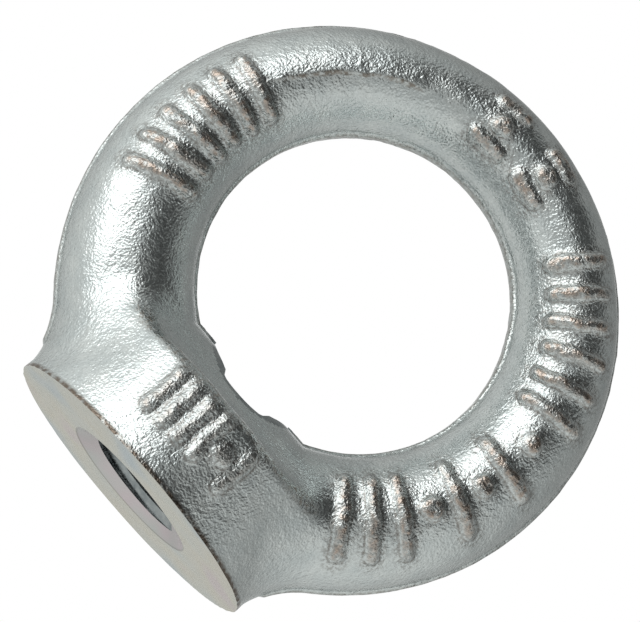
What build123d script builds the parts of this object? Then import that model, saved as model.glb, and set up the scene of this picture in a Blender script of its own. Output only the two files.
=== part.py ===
"""Lifting eye nut: one drop forging, a thick ring standing on a round threaded foot.

Frame in millimetres: +Z runs along the thread towards the crown of the ring, the origin is where
the thread axis meets the foot's machined face, and the ring lies in the XZ plane, which is also
the parting plane of the forging dies. The blank is symmetric about XZ and YZ, so one quarter of it
is modelled, with its blends, and mirrored. Then come the raised marks of the front die, and last
the machined foot.
"""

import os
from math import cos, radians, sin, sqrt, tan

from build123d import *

# Foot
foot_diameter = 25.0
foot_height = 8.1
wall_draft = 4.0
shoulder_draft = 5.0
shoulder_edge_radius = 1.0

# Eye: a circle cut off by a flat floor, where the thread runs out above the foot
eye_diameter = 25.3
floor_width = 12.13
floor_above_foot = 4.55

# Ring: its outer circle would reach just below the foot's machined face
crown_width = 8.6
crown_thickness = 10.0
root_thickness = 12.0
ring_below_foot = 0.5
root_blend_radius = 3.0

# Flash left by the trimming tool along the parting plane
flash_width = 1.2
flash_height = 0.2

# Raised marks of the front die, at angles from the crown: the span that holds them all, the first
# and last radial bar of each group and its count, pads, and pads with a crossbar on either side
marked_angles = (-140, 160)
bar_group_angles = ((-112.5, -78.5), (33.6, 75.6), (94.6, 123.4), (131.0, 138.6))
bar_group_counts = (6, 6, 3, 2)
pad_angles = (85.1, 101.8, 116.2)
crossed_pad_angles = (-8.6, 9.4)
bar_width = 1.2
bar_share_of_ring = 0.64
crossbar_length = 3.6
crossbar_share_out = 0.45
pad_diameter = 1.9
mark_height = 0.45

# The foot's marks stand out to its full diameter
foot_bar_places = (-4.0, -2.4, -0.8, 0.8, 4.0)
foot_pad_place = 2.4
foot_bar_length = 4.6
foot_mark_z = 5.0

# Machined thread, cut at its core diameter
core_diameter = 8.5
countersink_diameter = 12.4
countersink_angle = 120.0

# Modelling choices: the root's angle from the crown, the degrees between ring sections, and how
# near a flat face counts as on it
root_angle = 180
section_step = 20
tolerance = 0.01

# Places that follow from the sizes
eye_radius = eye_diameter / 2
floor_drop = sqrt(eye_radius**2 - (floor_width / 2) ** 2)
floor_z = foot_height + floor_above_foot
eye_z = floor_z + floor_drop
overall_height = eye_z + eye_radius + crown_width
ring_radius = (overall_height + ring_below_foot) / 2
ring_z = overall_height - ring_radius
foot_radius = foot_diameter / 2
shoulder_radius = foot_radius - foot_height * tan(radians(wall_draft))


def ring_reach(angle):
    """Distance from the eye's centre to the ring's outer circle, which has a centre of its own."""
    offset = ring_z - eye_z
    return offset * cos(angle) + sqrt(ring_radius**2 - (offset * sin(angle)) ** 2)


def eye_reach(angle):
    """Distance from the eye's centre to its edge, on the circle or on the flat floor."""
    towards_floor = -cos(angle)
    if towards_floor * eye_radius > floor_drop:
        return floor_drop / towards_floor
    return eye_radius


def section_at(angle):
    """Plane of a ring section, its half width in the parting plane and half thickness across it.

    The angle is in radians from the crown, round the centre of the eye. The two circles drift
    apart towards the foot, so the ring grows wider there, and its thickness grows with it.
    """
    outside = ring_reach(angle) - flash_height
    inside = eye_reach(angle) + flash_height
    thickness = crown_thickness + (root_thickness - crown_thickness) * (1 - cos(angle)) / 2
    inward = Vector(-sin(angle), 0, -cos(angle))
    along = Vector(cos(angle), 0, -sin(angle))
    centre = Vector(0, 0, eye_z) - inward * (outside + inside) / 2
    return Plane(centre, x_dir=inward, z_dir=along), (outside - inside) / 2, thickness / 2


def joins_ring_to_foot(edge):
    """Whether an edge of the quarter runs between ring and foot, off the quarter's flat faces."""
    middle = edge @ 0.5
    off_flat_faces = min(middle.X, -middle.Y, middle.Z) > tolerance
    return off_flat_faces and -middle.Y < root_thickness / 2 and middle.Z < eye_z


def ring_sections(first, last, growth):
    """Elliptical sections of the ring between two angles in degrees, grown by a height all round."""
    sections = []
    for degrees in range(first, last + section_step, section_step):
        plane, half_width, half_thickness = section_at(radians(degrees))
        with BuildSketch(plane) as section:
            Ellipse(half_width + growth, half_thickness + growth)
        sections.append(section.sketch.face())
    return sections


def mark_place(degrees, reach=0, turn=0):
    """Front view location of a mark, moved out from the ring's middle by a share of its half width.

    The ring's half width there comes with it. A turn of 0 points the mark out from the eye.
    """
    plane, half_width, half_thickness = section_at(radians(degrees))
    middle = plane.origin - plane.x_dir * half_width * reach
    return Location((middle.X, middle.Z), 90 - degrees + turn), half_width


# Right half of the ring, lofted from just before the crown to just past the root
with BuildPart() as ring:
    loft(ring_sections(-section_step, root_angle + section_step, 0))

# Foot: a drafted wall under a shoulder that falls away from the parting plane, as a die needs
with BuildPart() as foot:
    with BuildSketch():
        Circle(foot_radius)
    extrude(amount=foot_height + foot_radius, taper=wall_draft)
    shoulder = Plane((0, -shoulder_radius, foot_height)).rotated((shoulder_draft, 0, 0))
    split(bisect_by=shoulder, keep=Keep.BOTTOM)
    fillet(foot.edges().filter_by(GeomType.ELLIPSE), radius=shoulder_edge_radius)

# Opening of the eye, seen along the parting plane's normal
with BuildSketch(Plane.XZ) as eye:
    with Locations((0, eye_z)):
        Circle(eye_radius)
    with Locations((0, floor_z)):
        Rectangle(eye_diameter, eye_diameter, align=(Align.CENTER, Align.MIN), mode=Mode.INTERSECT)

# Flash: a thin band round ring and eye that dies into the foot
with BuildPart() as flash:
    with BuildSketch(Plane.XZ):
        with Locations((0, ring_z)):
            Circle(ring_radius)
        add(eye.sketch, mode=Mode.SUBTRACT)
        Rectangle(overall_height, overall_height, align=(Align.MIN, Align.MIN), mode=Mode.INTERSECT)
    extrude(amount=flash_width / 2)

# Front right quarter of the forging, with the root blend rolled between ring and foot
with BuildPart() as blank:
    add(foot.part)
    add(ring.part)
    split(bisect_by=Plane.YZ)
    split(bisect_by=Plane.XZ)
    split(bisect_by=Plane.XY)
    fillet(blank.edges().filter_by(joins_ring_to_foot), radius=root_blend_radius)
    add(flash.part)
    mirror(about=Plane.XZ)
    mirror(about=Plane.YZ)

# Marks on the ring, seen from the front, then cut to the height that they stand out of its skin
with BuildSketch(Plane.XZ) as ring_marks:
    for (first, last), count in zip(bar_group_angles, bar_group_counts):
        for number in range(count):
            place, half_width = mark_place(first + (last - first) * number / (count - 1))
            with Locations(place):
                SlotOverall(2 * half_width * bar_share_of_ring, bar_width)
    for degrees in pad_angles + crossed_pad_angles:
        with Locations(mark_place(degrees)[0]):
            Circle(pad_diameter / 2)
    for degrees in crossed_pad_angles:
        for reach in (-crossbar_share_out, crossbar_share_out):
            with Locations(mark_place(degrees, reach, 90)[0]):
                SlotOverall(crossbar_length, bar_width)

with BuildPart() as raised_ring:
    loft(ring_sections(*marked_angles, mark_height))
    extrude(ring_marks.sketch, amount=root_thickness, mode=Mode.INTERSECT)

# Marks on the foot's front wall
with BuildPart() as raised_foot:
    with BuildSketch():
        Circle(foot_radius)
    extrude(amount=foot_height)
    with BuildSketch(Plane.XZ):
        with Locations(*[(place, foot_mark_z) for place in foot_bar_places]):
            SlotOverall(foot_bar_length, bar_width, rotation=90)
        with Locations((foot_pad_place, foot_mark_z)):
            Circle(pad_diameter / 2)
    extrude(amount=foot_diameter, mode=Mode.INTERSECT)

# Finished nut: bored and countersunk from the base, through the floor and into the eye
with BuildPart() as eye_nut:
    add(blank.part)
    add(raised_ring.part)
    add(raised_foot.part)
    with Locations(-Plane.XY):
        CounterSinkHole(
            radius=core_diameter / 2,
            counter_sink_radius=countersink_diameter / 2,
            depth=eye_z,
            counter_sink_angle=countersink_angle,
        )

eye_nut.part.label = "eye_nut"
os.makedirs("parts", exist_ok=True)
export_step(eye_nut.part, "parts/eye_nut.step")
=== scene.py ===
import bmesh
import bpy
import numpy as np
from mathutils import Matrix


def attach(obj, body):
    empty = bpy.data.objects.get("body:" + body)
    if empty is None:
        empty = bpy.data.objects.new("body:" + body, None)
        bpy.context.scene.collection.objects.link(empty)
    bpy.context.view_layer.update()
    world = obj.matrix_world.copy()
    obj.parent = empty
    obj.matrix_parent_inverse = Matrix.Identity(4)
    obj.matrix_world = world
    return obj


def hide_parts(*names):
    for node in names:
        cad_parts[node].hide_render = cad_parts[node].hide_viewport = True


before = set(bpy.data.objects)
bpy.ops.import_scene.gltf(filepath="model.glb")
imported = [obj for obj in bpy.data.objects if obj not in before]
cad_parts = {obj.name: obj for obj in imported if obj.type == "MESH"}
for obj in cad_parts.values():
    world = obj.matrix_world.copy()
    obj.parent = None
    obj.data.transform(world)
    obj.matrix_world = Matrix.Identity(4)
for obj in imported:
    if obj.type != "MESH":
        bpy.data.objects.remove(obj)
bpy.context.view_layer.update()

# The blank of the nut is one drop forging of carbon steel: a thick ring, oval in section, whose
# eye and outer circle have centres of their own, on a round foot with drafted walls. It is struck
# between two dies that part in the XZ plane. Its sizes are in millimetres, as on the drawing.

MM = 0.001

foot_radius = 12.4
foot_height = 8.1
wall_draft = np.radians(4.0)
shoulder_draft = np.radians(5.0)
shoulder_edge = 1.1
shoulder_radius = foot_radius - foot_height * np.tan(wall_draft)
spare_under_foot = 1.5

eye_radius = 12.65
eye_z = 23.75
floor_drop = 11.1
ring_radius = 22.75
ring_z = 22.25
crown_thickness = 10.0
root_thickness = 12.0
root_blend = 3.0

flash_height = 0.2
flash_half_width = 0.55


def ring_section(theta):
    """Middle and half width of the ring's oval section, at an angle from the crown.

    The outer circle is seen from the eye's centre, so its reach is the law of cosines. The eye's
    reach is its radius, or the distance to the flat floor where that is nearer.
    """
    offset = ring_z - eye_z
    outside = offset * np.cos(theta) + np.sqrt(ring_radius**2 - (offset * np.sin(theta)) ** 2)
    towards_floor = np.maximum(-np.cos(theta), 1e-6)
    inside = np.minimum(eye_radius, floor_drop / towards_floor)
    outside, inside = outside - flash_height, inside + flash_height
    return (outside + inside) / 2, (outside - inside) / 2


def ring_distance(points):
    """Distance from the ring's skin: its oval is a unit circle stretched to width and thickness."""
    x, y, z = points[..., 0], points[..., 1], points[..., 2] - eye_z
    theta = np.arctan2(x, z)
    middle, half_width = ring_section(theta)
    half_thickness = (crown_thickness + (root_thickness - crown_thickness) * (1 - np.cos(theta)) / 2) / 2
    across = np.hypot(x, z) - middle
    reach = np.hypot(across / half_width, y / half_thickness)
    slope = np.hypot(across / half_width**2, y / half_thickness**2)
    return reach * (reach - 1) / np.maximum(slope, 1e-6)


def foot_distance(points):
    """Distance from the foot's skin: a cone cut by two falling shoulders, their edge rolled over."""
    x, y, z = points[..., 0], points[..., 1], points[..., 2]
    wall = (np.hypot(x, y) - foot_radius + z * np.tan(wall_draft)) * np.cos(wall_draft)
    top = foot_height + (shoulder_radius - np.abs(y)) * np.tan(shoulder_draft)
    shoulder = (z - top) * np.cos(shoulder_draft)
    inner = np.minimum(-shoulder_edge, np.maximum(wall, shoulder))
    return inner + np.hypot(np.maximum(shoulder_edge + wall, 0), np.maximum(shoulder_edge + shoulder, 0))


def blank_distance(points):
    """Distance from the blank's skin: ring and foot joined by a rolled blend, cut off under the foot."""
    ring, foot = ring_distance(points), foot_distance(points)
    outer = np.maximum(root_blend, np.minimum(ring, foot))
    joined = outer - np.hypot(np.maximum(root_blend - ring, 0), np.maximum(root_blend - foot, 0))
    return np.maximum(joined, -points[..., 2] - spare_under_foot)


def skin_along(starts, directions, furthest=32.0, looks=90, halvings=26):
    """First place where each ray leaves the blank: looked for in steps, then by halving the step."""
    looks_at = np.linspace(0.2, furthest, looks)
    low = np.zeros(starts.shape[:-1])
    high = np.full(starts.shape[:-1], furthest)
    found = np.zeros(starts.shape[:-1], bool)
    for distance in looks_at:
        outside = blank_distance(starts + directions * distance) > 0
        low = np.where(~found & ~outside, distance, low)
        high = np.where(~found & outside, distance, high)
        found |= outside
    for halving in range(halvings):
        half = (low + high) / 2
        outside = blank_distance(starts + directions * half[..., None]) > 0
        high = np.where(outside, half, high)
        low = np.where(outside, low, half)
    return starts + directions * high[..., None]


def unevenness(points, size, seed):
    """Smooth noise from -1 to 1: random values at the corners of cubes, blended by quintic steps."""
    values = np.random.default_rng(seed).uniform(-1, 1, 65536)
    place = points / size + 1000.0
    cell = np.floor(place).astype(np.int64)
    part = place - cell
    part = part**3 * (part * (part * 6 - 15) + 10)
    total = np.zeros(points.shape[:-1])
    for corner in np.ndindex(2, 2, 2):
        corner = np.array(corner)
        key = (cell + corner) @ np.array([73856093, 19349663, 83492791])
        weight = np.prod(np.where(corner == 1, part, 1 - part), axis=-1)
        total += weight * values[key & 65535]
    return total


# The front die leaves raised bars and round pads on the nut, in groups round the ring and on the
# front of the foot. They are cut into the die by hand, so their edges wander. Angles are in
# degrees from the crown.

bar_groups = [(-112.5, -78.5, 6), (33.6, 75.6, 6), (94.6, 123.4, 3), (131.0, 138.6, 2)]
pad_angles = [85.1, 101.8, 116.2, -8.6, 9.4]
crossbar_angles = [-8.6, 9.4]
bar_half_width = 0.6
pad_half_width = 0.95
bar_share_of_ring = 0.64
crossbar_half_length = 1.8
crossbar_place = 0.45
foot_bars = [-4.0, -2.4, -0.8, 0.8, 4.0]
foot_pad = 2.4
foot_mark_z = 5.0
foot_bar_half_length = 2.3
ring_mark_height = 0.5
foot_mark_height = 0.36
mark_spread = 0.2
mark_slope = 0.62
mark_wander = 0.14


def ring_strokes(degrees, reach, half_length, turn):
    """Ends of straight strokes on the ring: x and z of one end, then of the other.

    The middle of each stroke lies out from the ring's middle by a share of its half width. The
    stroke points away from the eye, or along the ring where it is turned.
    """
    angle = np.radians(np.asarray(degrees, float))
    middle, half_width = ring_section(angle)
    place = middle + reach * half_width
    x, z = place * np.sin(angle), eye_z + place * np.cos(angle)
    along_x = half_length * np.where(turn, np.cos(angle), np.sin(angle))
    along_z = half_length * np.where(turn, -np.sin(angle), np.cos(angle))
    return np.stack([x - along_x, z - along_z, x + along_x, z + along_z], axis=-1)


bar_angles = np.concatenate([np.linspace(first, last, number) for first, last, number in bar_groups])
bar_half_lengths = bar_share_of_ring * ring_section(np.radians(bar_angles))[1] - bar_half_width
cross_half_length = crossbar_half_length - bar_half_width
ring_marks = np.concatenate([
    ring_strokes(bar_angles, 0, bar_half_lengths, False),
    ring_strokes(crossbar_angles, crossbar_place, cross_half_length, True),
    ring_strokes(crossbar_angles, -crossbar_place, cross_half_length, True),
    ring_strokes(pad_angles, 0, 0, False)])
ring_mark_widths = np.repeat([bar_half_width, pad_half_width],
                             [len(ring_marks) - len(pad_angles), len(pad_angles)])
foot_reach = foot_bar_half_length - bar_half_width
foot_marks = np.array([(x, foot_mark_z - foot_reach, x, foot_mark_z + foot_reach) for x in foot_bars]
                      + [(foot_pad, foot_mark_z, foot_pad, foot_mark_z)])
foot_mark_widths = np.repeat([bar_half_width, pad_half_width], [len(foot_bars), 1])


def relief(points, strokes, half_widths):
    """Share of full height under each point: the nearest stroke's, rolling off past its width."""
    highest = np.zeros(points.shape[:-1])
    for (x1, z1, x2, z2), half_width in zip(strokes, half_widths):
        run = max((x2 - x1) ** 2 + (z2 - z1) ** 2, 1e-9)
        along = np.clip(((points[..., 0] - x1) * (x2 - x1) + (points[..., 1] - z1) * (z2 - z1)) / run, 0, 1)
        away = np.hypot(points[..., 0] - x1 - along * (x2 - x1), points[..., 1] - z1 - along * (z2 - z1))
        slope = np.clip((half_width + mark_spread - away) / mark_slope, 0, 1)
        highest = np.maximum(highest, slope**2 * (3 - 2 * slope))
    return highest


def marks_on(points):
    """Height of the raised marks under each point of the front, seen square on, their edges wandered.

    Behind the parting plane there are none.
    """
    wander = np.stack([unevenness(points, 1.2, 31), unevenness(points, 1.2, 32)], axis=-1)
    front_view = points[..., [0, 2]] + mark_wander * wander
    worn = 0.80 + 0.15 * unevenness(points, 1.4, 33) + 0.13 * unevenness(points, 0.6, 34)
    on_foot = foot_distance(points) < ring_distance(points)
    raised = np.where(on_foot, foot_mark_height * relief(front_view, foot_marks, foot_mark_widths),
                      ring_mark_height * relief(front_view, ring_marks, ring_mark_widths))
    return np.where(points[..., 1] < 0, raised * worn, 0)


# Where the dies met, the spare metal squeezed out as flash. The trimming tool leaves a thin band of
# it round the ring and the eye, and dark bare steel along the cut.

flash_wander = 0.12
flash_edge = 0.16
flash_stops_before_foot = 0.6


def flash_share(points):
    """Share of the flash's height under each point: full within its wandering width, none on the foot."""
    off_line = np.abs(points[..., 1]) + flash_wander * unevenness(points, 0.9, 5)
    share = np.clip((flash_half_width - off_line) / flash_edge + 0.5, 0, 1)
    return np.where(foot_distance(points) < ring_distance(points) - flash_stops_before_foot, 0, share)


# A lap runs along the front of the crown, where hot metal folded over itself in the die. Its two
# ends are angles from the crown, each with a share of the ring's half width out from its middle.

lap_start, lap_end = -77.0, -31.0
lap_start_reach, lap_end_reach = -0.04, -0.20
lap_height = 0.17
lap_edge = 0.11
lap_run = 1.5
lap_line_half_width = 0.19
lap_fade_degrees = 5


def lap_on(points):
    """Height of the lap under each point, and how near the point is to its edge, from 0 to 1.

    Its edge follows the ring, wanders, moves in towards the eye and fades at both ends. The skin
    steps up outwards there, and the step dies out.
    """
    x, z = points[..., 0], points[..., 2] - eye_z
    degrees = np.degrees(np.arctan2(x, z))
    middle, half_width = ring_section(np.radians(degrees))
    progress = np.clip((degrees - lap_start) / (lap_end - lap_start), 0, 1)
    edge = middle + half_width * (lap_start_reach + (lap_end_reach - lap_start_reach) * progress)
    past_edge = (np.hypot(x, z) - edge
                 + 0.14 * unevenness(points, 1.5, 41) + 0.12 * unevenness(points, 0.5, 42))
    to_end = np.minimum(degrees - lap_start, lap_end - degrees)
    fade = np.clip(to_end / lap_fade_degrees, 0, 1) * (points[..., 1] < 0)
    step = (0.5 + 0.5 * np.tanh(past_edge / lap_edge)) * np.exp(-np.maximum(past_edge, 0) / lap_run)
    return lap_height * step * fade, np.exp(-((past_edge / lap_line_half_width) ** 2)) * fade


# The edge of the foot's shoulder is the last place that the die fills, so it is left rough.

crest_reach = 0.75
crest_clear_of_ring = 1.5


def shoulder_edge_share(points):
    """How near each point is to the foot's rolled shoulder edge, from 0 away from it to 1 on it."""
    to_axis = np.hypot(points[..., 0], points[..., 1])
    top = foot_height + (shoulder_radius - np.abs(points[..., 1])) * np.tan(shoulder_draft)
    away = np.hypot(to_axis - shoulder_radius, points[..., 2] - top)
    clear_of_ring = np.clip(ring_distance(points) / crest_clear_of_ring, 0, 1)
    return np.exp(-((away / crest_reach) ** 2)) * clear_of_ring


# The skin is a tube round the middle of the ring. Angle theta goes round the eye from the crown,
# and angle phi round the tube: outwards at 0, to the front at a quarter turn, to the eye at half.
# Towards the foot the tube's middle sinks, so that its rays see the whole foot.

rows_round_eye = 480
columns_round_tube = 192
sinks_from, sunk_at = 105, 148
deepest_sink = 2.0

theta = np.linspace(0, 2 * np.pi, rows_round_eye, endpoint=False)
from_crown = np.abs((theta + np.pi) % (2 * np.pi) - np.pi)
sink = np.clip((np.degrees(from_crown) - sinks_from) / (sunk_at - sinks_from), 0, 1)
centre_reach = ring_section(theta)[0] + deepest_sink * sink**2 * (3 - 2 * sink)
outwards = np.stack([np.sin(theta), 0 * theta, np.cos(theta)], axis=-1)
centres = outwards * centre_reach[:, None] + np.array([0, 0, eye_z])


def tube_skin(phi):
    """Skin points of the blank for an array of phi, one row of angles for each theta."""
    forwards = np.array([0, -1.0, 0])
    directions = np.cos(phi)[..., None] * outwards[:, None, :] + np.sin(phi)[..., None] * forwards
    return skin_along(np.broadcast_to(centres[:, None, :], directions.shape), directions)


# The columns are spaced along the skin, closer on the front and closest at the flash.
looks_round_tube = 361
back_closeness = 0.45
flash_closeness = 0.8
first_phi = np.linspace(0, 2 * np.pi, looks_round_tube)
first = tube_skin(np.broadcast_to(first_phi, (rows_round_eye, looks_round_tube)))
step = np.linalg.norm(np.diff(first, axis=1), axis=-1)
middle_phi = (first_phi[1:] + first_phi[:-1]) / 2
closeness = back_closeness + (1 - back_closeness) * (0.5 + 0.5 * np.tanh(6 * np.sin(middle_phi)))
closeness += np.exp(-((np.sin(middle_phi) / 0.16) ** 2)) * flash_closeness
travelled = np.concatenate([np.zeros((rows_round_eye, 1)), np.cumsum(step * closeness, axis=1)], axis=1)
travelled /= travelled[:, -1:]
even = np.arange(columns_round_tube) / columns_round_tube
phi = np.stack([np.interp(even, row, first_phi) for row in travelled])
skin = tube_skin(phi)

nudge = 0.02
normals = np.stack([
    blank_distance(skin + nudge * axis) - blank_distance(skin - nudge * axis) for axis in np.eye(3)], axis=-1)
normals /= np.maximum(np.linalg.norm(normals, axis=-1, keepdims=True), 1e-9)

# What stands out of the blank: the marks, flash, lap and crest, the dents of a hot forged and
# blasted skin, and the burr that facing turns up at the base. Dents only go inwards. Each kind has
# its size across, its depth and the seed of its noise.
dent_kinds = [(5.0, 0.05, 1), (1.9, 0.03, 2), (0.9, 0.012, 3)]
crest_kinds = [(0.55, 0.10, 11), (0.3, 0.05, 12)]
burr_height = 0.13
burr_reach = 0.28
least_dents_on_flash = 0.25
flash = flash_share(skin) * flash_height * (0.86 + 0.14 * unevenness(skin, 0.8, 6))
dents = sum(depth * (unevenness(skin, size, seed) - 1) for size, depth, seed in dent_kinds)
dents *= np.clip(1 - flash / flash_height, least_dents_on_flash, 1)
burr = burr_height * np.exp(-((skin[..., 2] / burr_reach) ** 2)) * (0.75 + 0.25 * unevenness(skin, 0.7, 8))
burr = np.where(skin[..., 2] > 0.05 - spare_under_foot, burr, 0)
crest = sum(depth * unevenness(skin, size, seed) for size, depth, seed in crest_kinds)
crest *= shoulder_edge_share(skin)
skin = skin + normals * (marks_on(skin) + flash + dents + burr + crest + lap_on(skin)[0])[..., None]

row, column = np.meshgrid(np.arange(rows_round_eye), np.arange(columns_round_tube), indexing="ij")
next_row, next_column = (row + 1) % rows_round_eye, (column + 1) % columns_round_tube
corners = np.stack([row * columns_round_tube + column,
                    row * columns_round_tube + next_column,
                    next_row * columns_round_tube + next_column,
                    next_row * columns_round_tube + column], axis=-1)


def make_solid(name, points, faces):
    """Closed solid from points in millimetres and a list of faces, with its faces turned outwards."""
    mesh = bpy.data.meshes.new(name)
    mesh.from_pydata((points.reshape(-1, 3) * MM).tolist(), [], faces)
    shell = bmesh.new()
    shell.from_mesh(mesh)
    bmesh.ops.recalc_face_normals(shell, faces=shell.faces)
    shell.to_mesh(mesh)
    shell.free()
    solid = bpy.data.objects.new(name, mesh)
    bpy.context.scene.collection.objects.link(solid)
    return solid


nut = make_solid("forged_eye_nut", skin, corners.reshape(-1, 4).tolist())

# The foot is then faced flat, drilled, countersunk and tapped with a metric coarse thread, up
# through the floor of the eye. Each cut is a closed tool shape, taken away from the blank.

countersink_radius = 6.2
countersink_angle = 120.0
countersink_slope = 1 / np.tan(np.radians(countersink_angle / 2))
tip_radius = 0.9
clear_radius, clear_depth = 16.0, 3.0
facing_steps = 192
facing_profile = np.array([(tip_radius, (countersink_radius - tip_radius) * countersink_slope),
                           (countersink_radius, 0.0), (clear_radius, 0.0), (clear_radius, -clear_depth),
                           (tip_radius, -clear_depth)])
turn = np.arange(facing_steps) * 2 * np.pi / facing_steps
facing = np.stack([facing_profile[:, :1] * np.cos(turn), facing_profile[:, :1] * np.sin(turn),
                   facing_profile[:, 1:] + 0 * turn], axis=-1)
ring_of = np.arange(len(facing_profile) * facing_steps).reshape(-1, facing_steps)
next_of = np.roll(ring_of, -1, 1)
walls = np.stack([ring_of[:-1], ring_of[1:], next_of[1:], next_of[:-1]], axis=-1)
facing_tool = make_solid("facing_tool", facing,
                         walls.reshape(-1, 4).tolist() + [ring_of[0].tolist(), ring_of[-1].tolist()])

# Thread: four rows to a pitch, crest, flank, root and flank, on a helix that climbs with the angle.
# It runs out below the floor of the eye, as the depth of each row shrinks with its height.
pitch = 1.5
pitches = 13
rows_in_pitch = np.array([0.0, 0.22, 0.56, 0.66])
thread_start = -3.4
thread_end = 11.4
run_out_length = 3.0
least_depth_share = 0.25
core_radius = 4.25
thread_depth = 0.77
thread_steps = 96
row_place = (np.arange(pitches)[:, None] + rows_in_pitch).ravel()
run_out = np.clip((thread_end - thread_start - pitch * row_place) / run_out_length, least_depth_share, 1)
row_radius = core_radius + thread_depth * run_out * np.tile([0, 0, 1, 1], pitches)
turn = np.arange(thread_steps) / thread_steps
climb = thread_start + pitch * (row_place[:, None] + turn)
tap = np.stack([row_radius[:, None] * np.cos(2 * np.pi * turn),
                row_radius[:, None] * np.sin(2 * np.pi * turn), climb], axis=-1)
grid = np.arange(len(row_place) * thread_steps).reshape(-1, thread_steps)
strip = np.stack([grid[:-1, :-1], grid[:-1, 1:], grid[1:, 1:], grid[1:, :-1]], axis=-1).reshape(-1, 4)
seam = np.stack([grid[:-5, -1], grid[4:-1, 0], grid[5:, 0], grid[1:-4, -1]], axis=-1)
low_rim = np.concatenate([grid[0], grid[4:0:-1, 0]])
high_rim = np.concatenate([grid[-1], grid[-2:-6:-1, -1]])
tap_points = np.concatenate([tap.reshape(-1, 3), [(0, 0, climb.min() - 1.0), (0, 0, climb.max() + 1.0)]])
caps = [np.stack([rim, np.roll(rim, -1), np.full(len(rim), grid.size + end)], axis=-1)
        for end, rim in enumerate((low_rim, high_rim))]
tap_tool = make_solid("tap_tool", tap_points,
                      strip.tolist() + seam.tolist() + caps[0].tolist() + caps[1].tolist())


def cut_away(solid, tool):
    """Take a tool's shape out of a solid for good, and put the tool away."""
    cut = solid.modifiers.new("cut", "BOOLEAN")
    cut.operation = "DIFFERENCE"
    cut.solver = "MANIFOLD"
    cut.object = tool
    finished = bpy.data.meshes.new_from_object(solid.evaluated_get(bpy.context.evaluated_depsgraph_get()))
    solid.modifiers.clear()
    uncut, solid.data = solid.data, finished
    bpy.data.meshes.remove(uncut)
    bpy.data.objects.remove(tool)


cut_away(nut, facing_tool)
cut_away(nut, tap_tool)
nut.data.name = "forged_eye_nut"
nut.data.materials.clear()

# Every face belongs to the blasted skin, the turned face and countersink, or the thread.
blasted_kind, faced_kind, tapped_kind = 0, 1, 2
inside_thread = core_radius + thread_depth + 0.04
above_eye_floor = 15
count = len(nut.data.polygons)
middles = np.empty(count * 3)
nut.data.polygons.foreach_get("center", middles)
middles = middles.reshape(-1, 3) / MM
facings = np.empty(count * 3)
nut.data.polygons.foreach_get("normal", facings)
facings = facings.reshape(-1, 3)
from_axis = np.hypot(middles[:, 0], middles[:, 1])
is_base = (middles[:, 2] < 0.02) & (facings[:, 2] < -0.9)
above_cone = middles[:, 2] - (countersink_radius - from_axis) * countersink_slope
is_countersink = (np.abs(above_cone) < 0.03) & (facings[:, 2] < -0.8) & ~is_base
is_thread = (from_axis < inside_thread) & (middles[:, 2] < above_eye_floor) & ~is_base & ~is_countersink
skin_kind = np.where(is_thread, tapped_kind, np.where(is_base | is_countersink, faced_kind, blasted_kind))
skin_kind = skin_kind.astype(np.int32)

# Shares from 0 to 1 at every point, for the finish and the painted shade of the forged skin: raised
# marks, the skin beside them, the shoulder's rough crest, the trimmed flash and the lap's edge.
beside_ring_marks = 0.7
beside_foot_marks = 0.5
vertices = np.empty(len(nut.data.vertices) * 3)
nut.data.vertices.foreach_get("co", vertices)
vertices = vertices.reshape(-1, 3) / MM
front_view = vertices[:, [0, 2]]
by_marks = np.maximum(relief(front_view, ring_marks, ring_mark_widths + beside_ring_marks),
                      relief(front_view, foot_marks, foot_mark_widths + beside_foot_marks))
shares = {
    "raised": marks_on(vertices) / ring_mark_height,
    "by_marks": np.where(vertices[:, 1] < 0, by_marks, 0),
    "crest": shoulder_edge_share(vertices),
    "trimmed": flash_share(vertices),
    "lap": lap_on(vertices)[1],
}
for name, share in shares.items():
    nut.data.attributes.new(name, "FLOAT", "POINT").data.foreach_set("value", share)

# Zinc plate over blasted steel: cool grey, mottled, with a fine bright grain. It is brown and bare
# where the raised marks, crest, flash and rim have rubbed. Shade is painted in as dark colour round
# the foot of the raised marks and along the lap's edge, and the skin beside the marks has dark pits.


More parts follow.
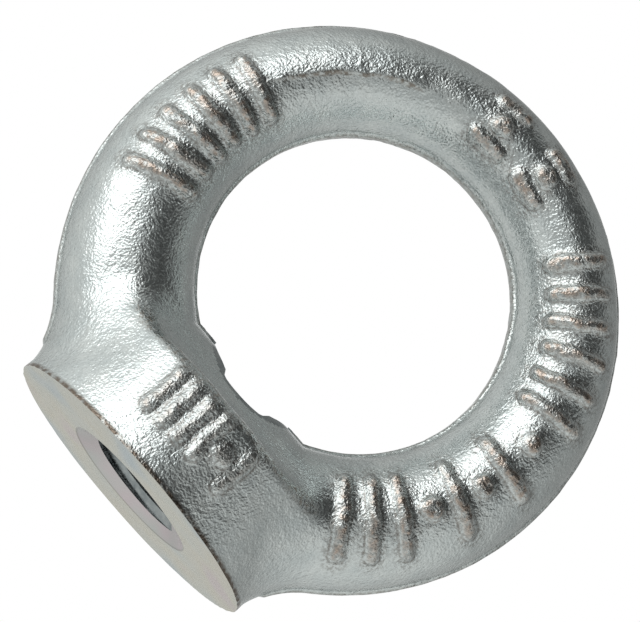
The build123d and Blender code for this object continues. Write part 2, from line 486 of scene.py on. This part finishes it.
class Finish:
    """A plated finish: its material, its metal shader, and short ways to add nodes to it.

    Patterns lie on object coordinates, and their sizes are in millimetres.
    """

    def __init__(self, name):
        self.material = bpy.data.materials.new(name)
        self.material.use_nodes = True
        self.nodes, self.links = self.material.node_tree.nodes, self.material.node_tree.links
        self.nodes.clear()
        out = self.nodes.new("ShaderNodeOutputMaterial")
        self.metal = self.nodes.new("ShaderNodeBsdfPrincipled")
        self.metal.inputs["Metallic"].default_value = 1.0
        self.links.new(self.metal.outputs["BSDF"], out.inputs["Surface"])
        self.place = self.nodes.new("ShaderNodeTexCoord").outputs["Object"]

    def noise(self, size, detail=2.0, roughness=0.5):
        """Soft blotches of a size."""
        node = self.nodes.new("ShaderNodeTexNoise")
        node.inputs["Scale"].default_value = 1 / (size * MM)
        node.inputs["Detail"].default_value = detail
        node.inputs["Roughness"].default_value = roughness
        self.links.new(self.place, node.inputs["Vector"])
        return node.outputs["Fac"]

    def share(self, name):
        """A share kept at every point of the mesh."""
        node = self.nodes.new("ShaderNodeAttribute")
        node.attribute_name = name
        return node.outputs["Fac"]

    def ramp(self, source, *stops):
        """Colours or greys that follow a source, each stop a place and its value."""
        node = self.nodes.new("ShaderNodeValToRGB")
        while len(node.color_ramp.elements) < len(stops):
            node.color_ramp.elements.new(0.5)
        for element, (position, colour) in zip(node.color_ramp.elements, stops):
            element.position = position
            element.color = (*colour, 1) if isinstance(colour, tuple) else (colour, colour, colour, 1)
        self.links.new(source, node.inputs["Fac"])
        return node.outputs["Color"]

    def blend(self, share, first, second, how="MIX"):
        """First colour to second by a share."""
        node = self.nodes.new("ShaderNodeMix")
        node.data_type = "RGBA"
        node.blend_type = how
        for socket, value in ((node.inputs[0], share), (node.inputs[6], first), (node.inputs[7], second)):
            if isinstance(value, bpy.types.NodeSocket):
                self.links.new(value, socket)
            elif isinstance(value, tuple):
                socket.default_value = (*value, 1)
            else:
                socket.default_value = value
        return node.outputs[2]

    def arithmetic(self, operation, first, second=None):
        """One sum on a source, with another source or a number."""
        node = self.nodes.new("ShaderNodeMath")
        node.operation = operation
        self.links.new(first, node.inputs[0])
        if isinstance(second, bpy.types.NodeSocket):
            self.links.new(second, node.inputs[1])
        elif second is not None:
            node.inputs[1].default_value = second
        return node.outputs[0]

    def times(self, first, second):
        """Product of two sources."""
        return self.arithmetic("MULTIPLY", first, second)

    def height_above_base(self, span):
        """Height over the machined base, 1 at the span."""
        split = self.nodes.new("ShaderNodeSeparateXYZ")
        self.links.new(self.place, split.inputs[0])
        return self.arithmetic("DIVIDE", split.outputs["Z"], span * MM)

    def distance_from_axis(self, span):
        """Distance from the thread's axis, 1 at the span."""
        flat = self.nodes.new("ShaderNodeVectorMath")
        flat.operation = "MULTIPLY"
        flat.inputs[1].default_value = (1 / (span * MM), 1 / (span * MM), 0)
        self.links.new(self.place, flat.inputs[0])
        node = self.nodes.new("ShaderNodeVectorMath")
        node.operation = "LENGTH"
        self.links.new(flat.outputs[0], node.inputs[0])
        return node.outputs["Value"]

    def bump(self, depth, source, below=None):
        """Bumps of a depth, on top of other bumps."""
        node = self.nodes.new("ShaderNodeBump")
        node.inputs["Distance"].default_value = depth * MM
        self.links.new(source, node.inputs["Height"])
        if below is not None:
            self.links.new(below, node.inputs["Normal"])
        return node.outputs["Normal"]

    def join(self, colour, roughness, normal):
        """Join the finished colour, roughness and bumps to the metal."""
        self.links.new(colour, self.metal.inputs["Base Color"])
        self.links.new(roughness, self.metal.inputs["Roughness"])
        self.links.new(normal, self.metal.inputs["Normal"])


rubbed_brown = (0.50, 0.42, 0.36)
# Dark colour of the painted shade at the foot of the marks, and of the pits beside them.
shade_and_pit_dark = (0.24, 0.22, 0.20)
crest_brown = (0.34, 0.27, 0.21)
cut_flash = (0.30, 0.28, 0.25)
# Dark colour of the painted shade along the lap's edge.
painted_lap_shade = (0.21, 0.18, 0.15)
rim_brown = (0.20, 0.165, 0.135)

blasted = Finish("blasted_zinc_plate")
gritty = blasted.ramp(blasted.noise(0.45, 2.0, 0.6), (0.40, 0.25), (0.60, 1.0))
colour = blasted.ramp(blasted.noise(2.2, 3.0, 0.6), (0.30, (0.62, 0.67, 0.67)), (0.70, (0.73, 0.77, 0.76)))
raised = blasted.share("raised")
rub = blasted.ramp(raised, (0.35, 0.0), (0.80, 1.0))
patchy = blasted.ramp(blasted.noise(0.6, 3.0, 0.6), (0.40, 0.0), (0.58, 1.0))
colour = blasted.blend(blasted.times(rub, patchy), colour, rubbed_brown)
# Painted shade: a dark line round the foot of each raised mark, in the corner where it meets the skin.
mark_foot_shade = blasted.ramp(raised, (0.02, 0.0), (0.12, 0.8), (0.30, 0.0))
colour = blasted.blend(blasted.times(mark_foot_shade, gritty), colour, shade_and_pit_dark)
crest_share = blasted.ramp(blasted.share("crest"), (0.10, 0.0), (0.75, 0.85))
specks = blasted.ramp(blasted.noise(0.35, 3.0, 0.65), (0.46, 0.0), (0.58, 1.0))
colour = blasted.blend(blasted.times(blasted.times(crest_share, specks), gritty), colour, crest_brown)
flash_cut = blasted.ramp(blasted.share("trimmed"), (0.20, 0.0), (0.80, 0.70))
colour = blasted.blend(blasted.times(flash_cut, gritty), colour, cut_flash)
# Painted shade: a dark line along the lap's edge, where the fold lies in shade.
lap_shade_share = blasted.ramp(blasted.share("lap"), (0.15, 0.0), (0.70, 0.90))
colour = blasted.blend(blasted.times(lap_shade_share, gritty), colour, painted_lap_shade)
beside_marks = blasted.share("by_marks")
# Dark pits mottle the skin beside the marks, in the same dark colour as the painted shade.
pits = blasted.ramp(blasted.noise(0.30, 3.0, 0.65), (0.42, 0.52), (0.54, 0.0))
colour = blasted.blend(blasted.times(beside_marks, pits), colour, shade_and_pit_dark)
near_rim = blasted.ramp(blasted.height_above_base(1.0), (0.22, 1.0), (0.48, 0.0))
wavering = blasted.ramp(blasted.noise(0.7, 2.0, 0.6), (0.34, 0.35), (0.52, 1.0))
colour = blasted.blend(blasted.times(near_rim, wavering), colour, rim_brown)
speckled = blasted.ramp(blasted.noise(0.17, 2.0, 0.6), (0.32, 0.84), (0.60, 1.0))
peel = blasted.bump(0.065, blasted.noise(0.48, 2.0, 0.5))
grain = blasted.bump(0.055, blasted.noise(0.19, 1.0, 0.5), below=peel)
pitted = blasted.bump(0.045, blasted.times(blasted.noise(0.38, 2.0, 0.6), beside_marks), below=grain)
blasted.join(blasted.blend(1.0, colour, speckled, "MULTIPLY"),
             blasted.ramp(blasted.noise(0.5, 2.0), (0.3, 0.16), (0.7, 0.30)), pitted)
nut.data.materials.append(blasted.material)

# The base is faced and countersunk on a lathe after forging: smooth fine turning, with the faint
# yellow, pink and blue of passivated zinc, and a thin dark line round the countersink's rim.
faced = Finish("faced_zinc_plate")
tint = faced.ramp(faced.noise(7.0, 1.0, 0.4), (0.30, (0.56, 0.64, 0.67)), (0.42, (0.70, 0.71, 0.64)),
                  (0.60, (0.74, 0.71, 0.60)), (0.72, (0.73, 0.64, 0.63)))
cone_tint = faced.ramp(faced.noise(4.0, 1.0, 0.4), (0.38, (0.55, 0.57, 0.55)), (0.66, (0.62, 0.55, 0.57)))
ramp_span = 10.0
on_cone = faced.ramp(faced.distance_from_axis(ramp_span), (0.612, 1.0), (0.620, 0.0))
rim_line = faced.ramp(faced.distance_from_axis(ramp_span), (0.606, 0.0), (0.617, 0.75), (0.630, 0.0))
turning_wave = 0.03
turning = faced.arithmetic("SINE", faced.distance_from_axis(turning_wave))
faced.join(faced.blend(rim_line, faced.blend(on_cone, tint, cone_tint), (0.30, 0.29, 0.27)),
           faced.ramp(faced.noise(1.0, 2.0), (0.3, 0.20), (0.7, 0.30)),
           faced.bump(0.0012, turning, below=faced.bump(0.004, faced.noise(0.8, 1.0))))
nut.data.materials.append(faced.material)

# The thread is tapped last. Its colour is darker, partly for the thin plating inside the hole and
# partly as painted shade in the deep hole.
tapped = Finish("tapped_plate_and_hole_shade")
tapped.join(tapped.ramp(tapped.noise(0.8, 2.0), (0.3, (0.24, 0.27, 0.28)), (0.7, (0.42, 0.45, 0.45))),
            tapped.ramp(tapped.noise(0.5, 2.0), (0.3, 0.22), (0.7, 0.34)),
            tapped.bump(0.02, tapped.noise(0.3, 2.0)))
nut.data.materials.append(tapped.material)

nut.data.polygons.foreach_set("material_index", skin_kind)
nut.data.polygons.foreach_set("use_smooth", np.ones(count, bool))

# Machined edges are crisp, and the forged skin is smooth except where it folds right over.
corner_edge = np.empty(len(nut.data.loops), np.int32)
nut.data.loops.foreach_get("edge_index", corner_edge)
corner_count = np.empty(count, np.int32)
nut.data.polygons.foreach_get("loop_total", corner_count)
corner_face = np.repeat(np.arange(count), corner_count)[np.argsort(corner_edge, kind="stable")]
one_side, other_side = corner_face[0::2], corner_face[1::2]
alike = np.sum(facings[one_side] * facings[other_side], axis=-1)
machined = (skin_kind[one_side] != blasted_kind) | (skin_kind[other_side] != blasted_kind)
machined_fold, forged_fold = np.cos(np.radians([25, 75]))
crisp = (machined & (alike < machined_fold)) | (alike < forged_fold)
nut.data.edges.foreach_set("use_edge_sharp", crisp)
nut.data.update()
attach(nut, "root")
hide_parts("eye_nut")

# Floor: a plain pale sheet under the nut. The photograph looks up at the nut from below it, so
# the sheet shows only to a camera above it, and it casts nothing on the nut. It glows a little, so
# that it stays pale with a shadow on it.

floor_half = 3
floor_mesh = bpy.data.meshes.new("floor")
floor_mesh.from_pydata([(-floor_half, -floor_half, 0), (floor_half, -floor_half, 0),
                        (floor_half, floor_half, 0), (-floor_half, floor_half, 0)], [], [(0, 1, 2, 3)])
floor = bpy.data.objects.new("floor", floor_mesh)
bpy.context.scene.collection.objects.link(floor)
paper = bpy.data.materials.new("pale_paper")
paper.use_nodes = True
nodes, links = paper.node_tree.nodes, paper.node_tree.links
nodes.clear()
out = nodes.new("ShaderNodeOutputMaterial")
sheet = nodes.new("ShaderNodeBsdfDiffuse")
sheet.inputs["Color"].default_value = (0.86, 0.86, 0.86, 1)
unseen = nodes.new("ShaderNodeBsdfTransparent")
which = nodes.new("ShaderNodeMixShader")
from_camera = nodes.new("ShaderNodeLightPath").outputs["Is Camera Ray"]
backfacing = nodes.new("ShaderNodeNewGeometry").outputs["Backfacing"]
seen = nodes.new("ShaderNodeMath")
seen.operation = "SUBTRACT"
seen.use_clamp = True
links.new(from_camera, seen.inputs[0])
links.new(backfacing, seen.inputs[1])
links.new(seen.outputs[0], which.inputs["Fac"])
links.new(unseen.outputs[0], which.inputs[1])
glow = nodes.new("ShaderNodeEmission")
glow.inputs["Color"].default_value = (1, 1, 1, 1)
glow.inputs["Strength"].default_value = 0.42
pale = nodes.new("ShaderNodeAddShader")
links.new(sheet.outputs[0], pale.inputs[0])
links.new(glow.outputs[0], pale.inputs[1])
links.new(pale.outputs[0], which.inputs[2])
links.new(which.outputs[0], out.inputs["Surface"])
floor_mesh.materials.append(paper)

# Camera: on the left of the nut's foot and a little under it, rolled so that the thread points
# down to the left, with a long lens.

view_azimuth, view_elevation, view_roll = np.radians([-0.3899, -14.4433, 49.3099])
view_distance = 201.154
view_target = np.array([-0.83935, 0.0, 20.6773])
focal_pixels = 2554.58
image_width = 640

back = np.array([np.sin(view_azimuth) * np.cos(view_elevation),
                 -np.cos(view_azimuth) * np.cos(view_elevation), np.sin(view_elevation)])
level = np.array([np.cos(view_azimuth), np.sin(view_azimuth), 0.0])
upright = np.cross(back, level)
right = np.cos(view_roll) * level + np.sin(view_roll) * upright
up = np.cos(view_roll) * upright - np.sin(view_roll) * level
stand = (view_target + back * view_distance) * MM
camera_data = bpy.data.cameras.new("camera")
camera_data.sensor_fit = "HORIZONTAL"
camera_data.sensor_width = 36.0
camera_data.lens = focal_pixels * camera_data.sensor_width / image_width
camera_data.clip_start = 0.01
camera_data.clip_end = 20.0
camera = bpy.data.objects.new("camera", camera_data)
camera_place = np.eye(4)
camera_place[:3, :3] = np.stack([right, up, back], axis=1)
camera_place[:3, 3] = stand
camera.matrix_world = Matrix(camera_place.tolist())
bpy.context.scene.collection.objects.link(camera)
bpy.context.scene.camera = camera

# Light: one broad soft lamp high on the left, in a pale grey tent that is darker on the right and
# round the camera. Places in it are degrees right of the camera and degrees above it, seen from
# the nut. The background is plain white, to the camera and in what metal mirrors from behind it.

aim = view_target * MM


def towards(degrees_right, degrees_up):
    """Direction from the nut, turned from the camera's by an angle to the right and one upwards."""
    turn = np.hypot(degrees_right, degrees_up)
    sideways = (degrees_right * right + degrees_up * up) / turn
    return np.cos(np.radians(turn)) * back + np.sin(np.radians(turn)) * sideways


lamp_distance = 0.7
lamp_data = bpy.data.lights.new("soft_box", "AREA")
lamp_data.shape = "RECTANGLE"
lamp_data.size = 1.0
lamp_data.size_y = 0.52
lamp_data.energy = 2.25
lamp = bpy.data.objects.new("soft_box", lamp_data)
towards_lamp = towards(-21.0, 47.0)
lamp_side = right - np.dot(right, towards_lamp) * towards_lamp
lamp_side = lamp_side / np.linalg.norm(lamp_side)
lamp_place = np.eye(4)
lamp_place[:3, :3] = np.stack([lamp_side, np.cross(towards_lamp, lamp_side), towards_lamp], axis=1)
lamp_place[:3, 3] = aim + towards_lamp * lamp_distance
lamp.matrix_world = Matrix(lamp_place.tolist())
bpy.context.scene.collection.objects.link(lamp)

world = bpy.data.worlds.new("tent")
bpy.context.scene.world = world
world.use_nodes = True
nodes, links = world.node_tree.nodes, world.node_tree.links
nodes.clear()
out = nodes.new("ShaderNodeOutputWorld")
look = nodes.new("ShaderNodeTexCoord").outputs["Generated"]


def tent_patch(direction, half_angle, inside, outside=1.0):
    """Brightness of the tent, going smoothly from inside a round patch to outside its half angle."""
    lean = nodes.new("ShaderNodeVectorMath")
    lean.operation = "DOT_PRODUCT"
    lean.inputs[1].default_value = direction.tolist()
    links.new(look, lean.inputs[0])
    patch = nodes.new("ShaderNodeMapRange")
    patch.interpolation_type = "SMOOTHERSTEP"
    patch.inputs["From Min"].default_value = float(np.cos(np.radians(half_angle)))
    patch.inputs["From Max"].default_value = 1.0
    patch.inputs["To Min"].default_value = outside
    patch.inputs["To Max"].default_value = inside
    links.new(lean.outputs["Value"], patch.inputs["Value"])
    return patch.outputs["Result"]


def both(first, second):
    """Product of two brightnesses."""
    product = nodes.new("ShaderNodeMath")
    product.operation = "MULTIPLY"
    links.new(first, product.inputs[0])
    links.new(second, product.inputs[1])
    return product.outputs[0]


dark_right = tent_patch(towards(58.0, 26.0), 54.0, 0.16)
dim_camera = tent_patch(towards(0.0, -6.0), 42.0, 0.62)
dim_side = tent_patch(towards(105.0, 30.0), 100.0, 0.46)
dim_behind = tent_patch(-back, 90.0, 0.74)
bright_above = tent_patch(towards(-15.0, 97.0), 62.0, 1.20)
brightness = both(both(both(dark_right, dim_camera), both(dim_side, dim_behind)), bright_above)
around_light = nodes.new("ShaderNodeBackground")
around_light.inputs["Color"].default_value = (0.74, 0.75, 0.735, 1)
links.new(brightness, around_light.inputs["Strength"])
white = nodes.new("ShaderNodeBackground")
white.inputs["Color"].default_value = (1, 1, 1, 1)
kind_of_ray = nodes.new("ShaderNodeLightPath")
seen_in_metal = nodes.new("ShaderNodeMath")
seen_in_metal.operation = "MAXIMUM"
links.new(kind_of_ray.outputs["Is Glossy Ray"], seen_in_metal.inputs[0])
links.new(kind_of_ray.outputs["Is Transmission Ray"], seen_in_metal.inputs[1])
behind_nut = both(tent_patch(-back, 20.0, 1.0, 0.0), seen_in_metal.outputs[0])
shows_white = nodes.new("ShaderNodeMath")
shows_white.operation = "MAXIMUM"
links.new(kind_of_ray.outputs["Is Camera Ray"], shows_white.inputs[0])
links.new(behind_nut, shows_white.inputs[1])
which = nodes.new("ShaderNodeMixShader")
links.new(shows_white.outputs[0], which.inputs["Fac"])
links.new(around_light.outputs[0], which.inputs[1])
links.new(white.outputs[0], which.inputs[2])
links.new(which.outputs[0], out.inputs["Surface"])

bpy.context.scene.view_settings.view_transform = "Standard"
